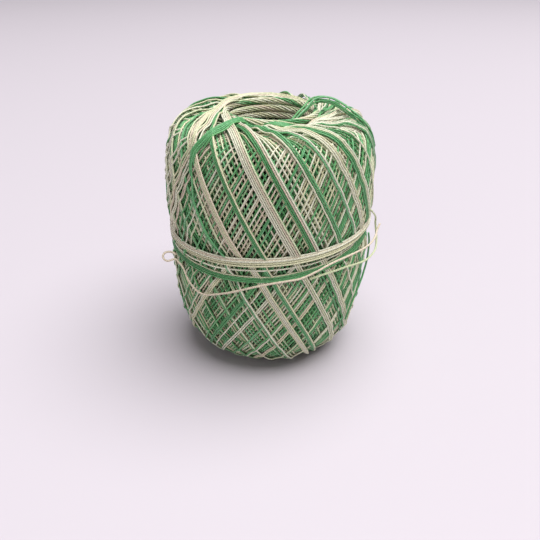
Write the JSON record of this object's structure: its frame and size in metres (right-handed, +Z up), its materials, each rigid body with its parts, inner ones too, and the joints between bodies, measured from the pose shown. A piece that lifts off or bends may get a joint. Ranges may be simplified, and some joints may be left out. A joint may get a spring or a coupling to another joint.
{
  "type": "ball of crochet thread",
  "caption": "Machine-wound barrel-shaped ball of variegated cotton crochet thread with an open hole through its middle and loose ends at its waist.",
  "frame": {"origin": "centre of the foot, on the surface the ball stands on", "axes": "+Z up the ball's axis, through the hole; -Y towards the front, where the waist bundles part"},
  "size_m": [0.0671, 0.0668, 0.0786],
  "materials": {
    "wound_thread": "smooth cotton, green and cream",
    "cream_thread": "smooth cotton, pinkish cream",
    "pale_thread": "smooth cotton, pale green cream",
    "green_thread": "smooth cotton, green"
  },
  "bodies": {
    "root": {"wound_ball": "wound_thread", "loose_end_pink": "cream_thread", "loose_strand_pale": "pale_thread", "loose_strand_green": "green_thread"}
  },
  "joints": []
}
